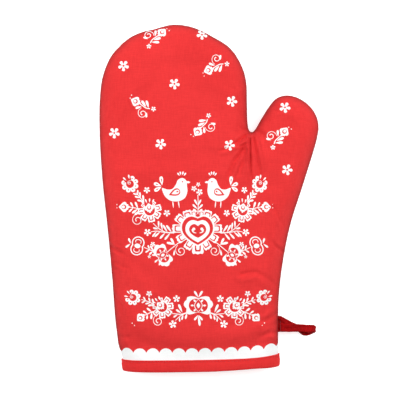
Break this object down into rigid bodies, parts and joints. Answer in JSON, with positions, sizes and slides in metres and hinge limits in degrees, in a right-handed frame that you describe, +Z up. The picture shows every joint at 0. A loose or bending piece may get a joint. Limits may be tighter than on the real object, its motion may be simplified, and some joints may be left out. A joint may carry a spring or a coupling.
{
  "type": "oven mitt",
  "caption": "Padded cotton oven mitt with one thumb, a lined hand pocket, a bound cuff and a fabric hanging loop at the side seam, lying flat.",
  "frame": {"origin": "centre of the bounding box in plan, on the surface that the mitt's palm lies on", "axes": "+Z up, out of the back of the hand; +Y towards the fingertips; +X towards the thumb"},
  "size_m": [0.1768, 0.2799, 0.025],
  "materials": {
    "outer_cotton": "bright red plain-weave cotton, matt, with a white printed folk pattern and a white scalloped band at the cuff",
    "batting": "off-white polyester and cotton wadding, fluffy",
    "lining_cotton": "natural plain-weave cotton, matt",
    "binding_cotton": "red plain-weave cotton strip folded over the mouth's edge",
    "loop_tape": "dark crimson cotton strip, folded and creased",
    "thread": "red polyester sewing thread, slight sheen",
    "lining_thread": "cream polyester sewing thread, slight sheen",
    "loop_thread": "dark crimson polyester sewing thread, slight sheen",
    "print_ink": "matt white pigment print lying on the outer cotton"
  },
  "bodies": {
    "mitt": {"outer_back_panel": "outer_cotton", "outer_palm_panel": "outer_cotton", "batting_back": "batting", "batting_palm": "batting", "lining_back": "lining_cotton", "lining_palm": "lining_cotton", "outer_seam_thread": "thread", "lining_seam_thread": "lining_thread", "cuff_binding": "binding_cotton", "binding_stitch_thread": "thread"},
    "loop": {"hanging_loop": "loop_tape", "loop_tack_thread": "loop_thread"}
  },
  "joints": [
    {"name": "loop_swing", "type": "hinge", "parent": "mitt", "child": "loop", "pos_m": [0.0573, -0.1011, 0.0125], "axis": [0, -1, 0], "range_deg": [-70, 90]}
  ]
}
